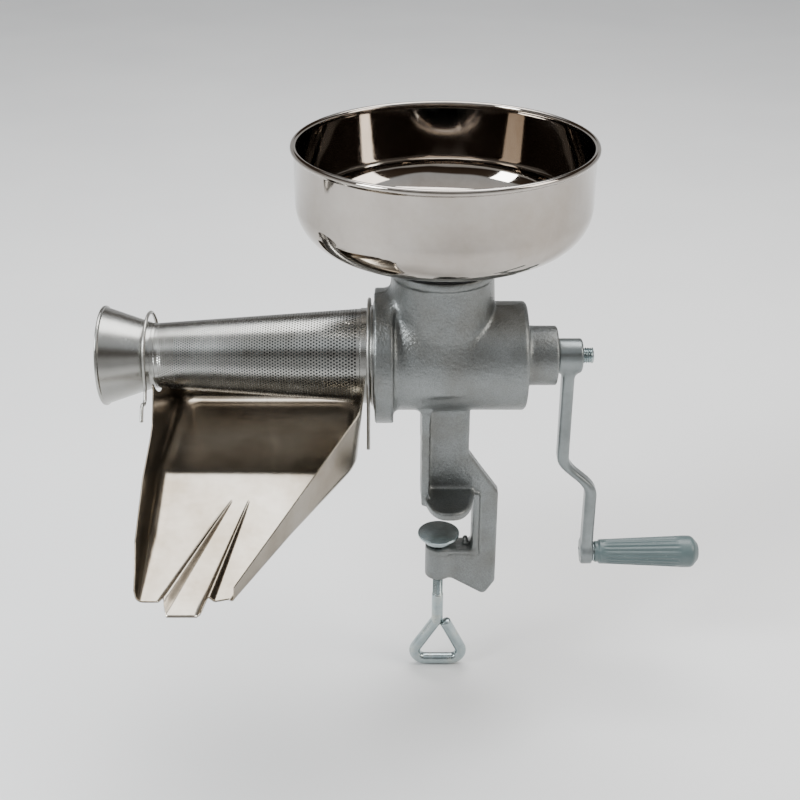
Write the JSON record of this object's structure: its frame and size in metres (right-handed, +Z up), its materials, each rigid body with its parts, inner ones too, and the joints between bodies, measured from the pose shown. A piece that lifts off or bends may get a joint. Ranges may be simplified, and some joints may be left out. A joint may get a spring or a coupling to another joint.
{
  "type": "hand crank food press",
  "caption": "Clamp-on hand-crank press: hopper, cast body, left-hand auger, conical sieve with flared outlet, drip tray and stepped crank.",
  "frame": {"origin": "where the clamp screw's axis meets the flat underside of the upper jaw", "axes": "+X along the auger towards the crank, +Y away from the tray's spout, +Z up"},
  "size_m": [0.5382, 0.3446, 0.5301],
  "materials": {
    "cast_silver": "rough casting under silver paint",
    "stainless": "pressed sheet, half bright",
    "mirror_stainless": "mirror polished",
    "spring_steel": "drawn wire, satin",
    "zinc_plate": "bright zinc plate, slightly blue",
    "grey_plastic": "satin moulding",
    "nylon": "natural nylon",
    "black_rubber": "matt"
  },
  "bodies": {
    "body": {"body_casting": "cast_silver"},
    "crank": {"drive_shaft": "zinc_plate", "thrust_bearing": "nylon", "thrust_spring": "spring_steel", "crank_arm": "cast_silver", "grip_bolt": "zinc_plate", "grip_washer": "zinc_plate"},
    "handle": {"grip": "grey_plastic"},
    "screw": {"auger": "grey_plastic"},
    "strainer": {"strainer_collar": "stainless", "strainer_screen": "stainless", "strainer_funnel": "stainless", "tray": "stainless"},
    "left_clip": {"tray_clip_left": "spring_steel"},
    "right_bail": {"tray_bail_right": "spring_steel"},
    "hopper": {"hopper_bowl": "mirror_stainless", "hopper_neck": "mirror_stainless", "hopper_gasket": "black_rubber"},
    "pad": {"clamp_pad": "zinc_plate"},
    "clamp": {"clamp_screw": "zinc_plate"}
  },
  "joints": [
    {"name": "crank_turn", "type": "hinge", "parent": "body", "child": "crank", "pos_m": [0.1, 0, 0.14], "axis": [1, 0, 0], "continuous": true},
    {"name": "grip_spin", "type": "hinge", "parent": "crank", "child": "handle", "pos_m": [0.19, 0, -0.066], "axis": [1, 0, 0], "continuous": true},
    {"name": "auger_draw_out", "type": "slide", "parent": "crank", "child": "screw", "axis": [-1, 0, 0], "range_m": [0, 0.22]},
    {"name": "strainer_draw_off", "type": "slide", "parent": "body", "child": "strainer", "axis": [-1, 0, 0], "range_m": [0, 0.44]},
    {"name": "left_clip_swing", "type": "hinge", "parent": "strainer", "child": "left_clip", "pos_m": [-0.2527, 0.047, 0.116], "axis": [-1, 0, 0], "range_deg": [0, 100]},
    {"name": "right_bail_swing", "type": "hinge", "parent": "strainer", "child": "right_bail", "pos_m": [-0.0628, 0.062, 0.126], "axis": [-1, 0, 0], "range_deg": [0, 60]},
    {"name": "hopper_lift_out", "type": "slide", "parent": "body", "child": "hopper", "axis": [0, 0, 1], "range_m": [0, 0.12]},
    {"name": "clamp_pad_travel", "type": "slide", "parent": "body", "child": "pad", "axis": [0, 0, 1], "range_m": [0, 0.018]},
    {"name": "clamp_screw_turn", "type": "hinge", "parent": "pad", "child": "clamp", "pos_m": [0, 0, -0.1], "axis": [0, 0, 1], "range_deg": [0, 4320]}
  ],
  "couplings": [
    {"joint": "auger_draw_out", "follows": "strainer_draw_off", "ratio": 0.5},
    {"joint": "clamp_screw_turn", "follows": "clamp_pad_travel", "rad_per_m": 4188.8}
  ]
}
